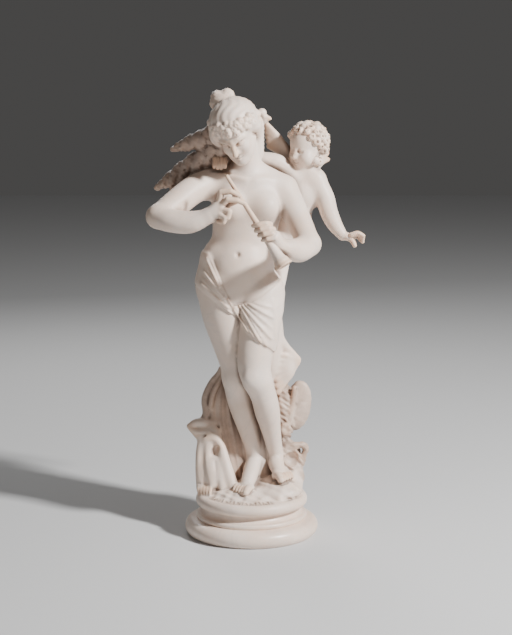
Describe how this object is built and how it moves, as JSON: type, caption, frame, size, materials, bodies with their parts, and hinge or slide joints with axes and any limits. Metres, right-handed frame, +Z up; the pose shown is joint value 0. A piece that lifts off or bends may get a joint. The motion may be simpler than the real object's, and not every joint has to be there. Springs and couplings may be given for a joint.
{
  "type": "marble statue",
  "caption": "Carved white marble group of a standing draped nymph lowering a pipe, with a winged putto leaning over the shoulder from behind, on a round turned socle.",
  "frame": {"origin": "centre of the round socle's flat underside", "axes": "+Z up along the socle's axis, the nymph faces -Y, +X towards her left hand"},
  "size_m": [0.4329, 0.3334, 0.9006],
  "materials": {
    "carved_marble": "honed white marble with warm patina in the hollows",
    "turned_marble": "polished white marble with faint warm veining"
  },
  "bodies": {
    "root": {"figure_group": "carved_marble", "turned_socle": "turned_marble"}
  },
  "joints": []
}
